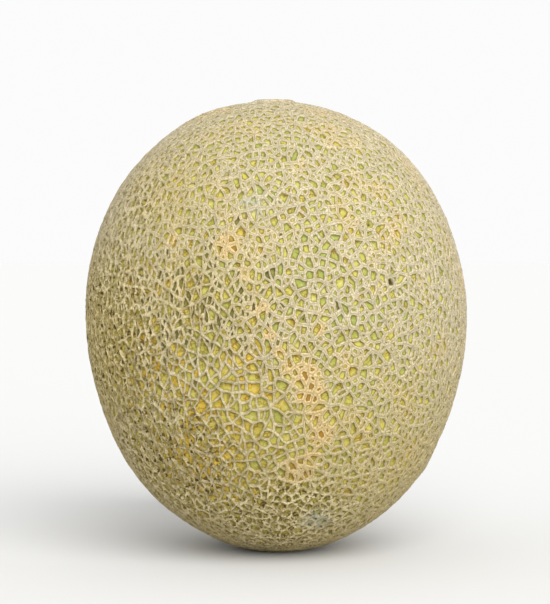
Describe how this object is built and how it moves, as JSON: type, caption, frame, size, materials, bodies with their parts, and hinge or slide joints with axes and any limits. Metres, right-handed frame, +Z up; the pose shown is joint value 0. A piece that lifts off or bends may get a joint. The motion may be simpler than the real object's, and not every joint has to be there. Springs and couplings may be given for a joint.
{
  "type": "cantaloupe melon",
  "caption": "Whole netted cantaloupe melon, egg-shaped, standing on a small flat at its blossom end, with a dished stem scar on top.",
  "frame": {"origin": "on the ground, under the middle of the fruit's box, at the level of the flat that it stands on", "axes": "+Z up the fruit's long axis, from the blossom end to the stem scar; -Y is the side that the picture shows; +X is that side's right"},
  "size_m": [0.1452, 0.1452, 0.1713],
  "materials": {
    "netted_rind": "dry corky net, tan to grey-cream, over a satin yellow-green rind"
  },
  "bodies": {
    "root": {"melon": "netted_rind"}
  },
  "joints": []
}
